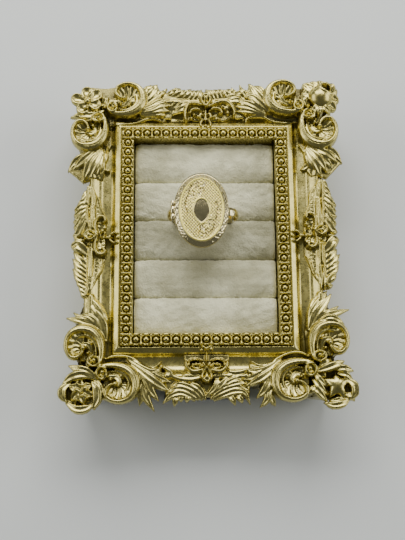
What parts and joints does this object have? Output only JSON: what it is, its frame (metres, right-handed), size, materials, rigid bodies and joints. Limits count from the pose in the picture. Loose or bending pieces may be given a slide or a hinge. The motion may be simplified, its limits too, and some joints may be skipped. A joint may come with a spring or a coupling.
{
  "type": "ring box",
  "caption": "Ring box in the form of an ornate gilt picture frame, lying on its back, with a padded velvet tray of ring slots and a hinged oval locket ring standing in one slot.",
  "frame": {"origin": "on the resting surface, under the middle of the frame outline", "axes": "+Z out of the frame face, +Y towards the top of the frame, +X to the right of someone looking at the face"},
  "size_m": [0.0977, 0.12, 0.0333],
  "materials": {
    "frame_gold": "cast resin under a satin champagne-gold metallic lacquer, darker in the hollows",
    "ivory_velvet": "ivory cotton velvet with a short soft pile",
    "foam": "open-cell upholstery foam",
    "grey_board": "plain grey card",
    "mdf": "thin fibreboard",
    "black_flock": "black flocked paper over board",
    "button_brass": "brass plated, satin",
    "hinge_steel": "zinc-plated steel strip",
    "ring_gold": "engraved yellow gold, polished in the middle"
  },
  "bodies": {
    "frame": {"frame_casting": "frame_gold", "pad_board": "grey_board", "foam_core_1": "foam", "foam_core_2": "foam", "foam_core_3": "foam", "foam_core_4": "foam", "foam_core_5": "foam", "velvet_sleeve_1": "ivory_velvet", "velvet_sleeve_2": "ivory_velvet", "velvet_sleeve_3": "ivory_velvet", "velvet_sleeve_4": "ivory_velvet", "velvet_sleeve_5": "ivory_velvet", "back_board": "mdf", "back_flock": "black_flock", "hinge_leaf_board": "hinge_steel", "hinge_pin": "hinge_steel", "board_rivet_1": "hinge_steel", "board_rivet_2": "hinge_steel", "button_screw_1": "button_brass", "button_screw_2": "button_brass", "button_screw_3": "button_brass", "button_screw_4": "button_brass"},
    "ring": {"ring_shank": "ring_gold", "ring_shoulder_left": "ring_gold", "ring_shoulder_right": "ring_gold", "locket_case": "ring_gold", "case_photo_rim": "ring_gold", "locket_hinge_pin": "ring_gold"},
    "locket_lid": {"locket_lid": "ring_gold", "lid_photo_rim": "ring_gold"},
    "easel": {"easel_strut": "black_flock", "hinge_leaf_strut": "hinge_steel", "strut_rivet_1": "hinge_steel", "strut_rivet_2": "hinge_steel"},
    "turn_button_1": {"turn_button_1": "button_brass"},
    "turn_button_2": {"turn_button_2": "button_brass"},
    "turn_button_3": {"turn_button_3": "button_brass"},
    "turn_button_4": {"turn_button_4": "button_brass"}
  },
  "joints": [
    {"name": "ring_lift", "type": "slide", "parent": "frame", "child": "ring", "axis": [0, 0, 1], "range_m": [0, 0.03]},
    {"name": "locket_hinge", "type": "hinge", "parent": "ring", "child": "locket_lid", "pos_m": [-0.0121, 0.0074, 0.031], "axis": [0, -1, 0], "range_deg": [0, 110]},
    {"name": "easel_hinge", "type": "hinge", "parent": "frame", "child": "easel", "pos_m": [-0.00075, 0.02375, 0.0022], "axis": [1, 0, 0], "range_deg": [0, 35]},
    {"name": "button_turn_1", "type": "hinge", "parent": "frame", "child": "turn_button_1", "pos_m": [-0.03305, -0.01925, 0.0028], "axis": [0, 0, -1], "range_deg": [0, 90]},
    {"name": "button_turn_2", "type": "hinge", "parent": "frame", "child": "turn_button_2", "pos_m": [-0.03305, 0.02275, 0.0028], "axis": [0, 0, 1], "range_deg": [0, 90]},
    {"name": "button_turn_3", "type": "hinge", "parent": "frame", "child": "turn_button_3", "pos_m": [0.03155, -0.01925, 0.0028], "axis": [0, 0, 1], "range_deg": [0, 90]},
    {"name": "button_turn_4", "type": "hinge", "parent": "frame", "child": "turn_button_4", "pos_m": [0.03155, 0.02275, 0.0028], "axis": [0, 0, -1], "range_deg": [0, 90]}
  ]
}
